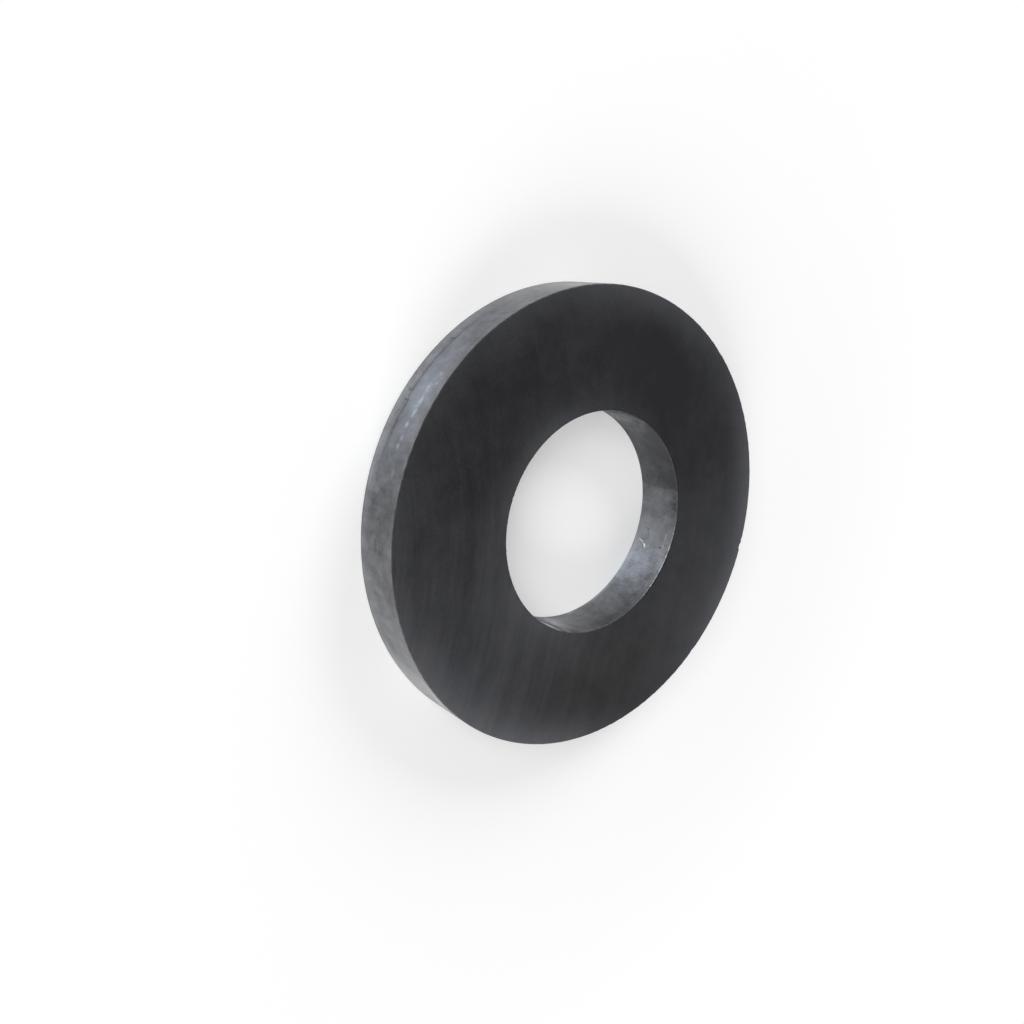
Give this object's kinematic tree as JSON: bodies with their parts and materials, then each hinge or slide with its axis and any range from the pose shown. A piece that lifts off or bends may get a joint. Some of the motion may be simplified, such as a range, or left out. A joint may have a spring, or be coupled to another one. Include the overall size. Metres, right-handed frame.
{
  "type": "ring magnet",
  "caption": "Flat ferrite ring magnet with a plain round bore and ground faces, lightly chipped at the rim. It lies flat and seats on a pin or spigot.",
  "frame": {"origin": "centre of the rear ground face, on the ring's axis", "axes": "+Z along the axis, out of the front ground face; X and Y lie in the rear face"},
  "size_m": [0.06, 0.06, 0.007],
  "materials": {
    "ferrite": "satin ground faces, paler fired walls"
  },
  "bodies": {
    "root": {"magnet_ring": "ferrite"}
  },
  "joints": []
}
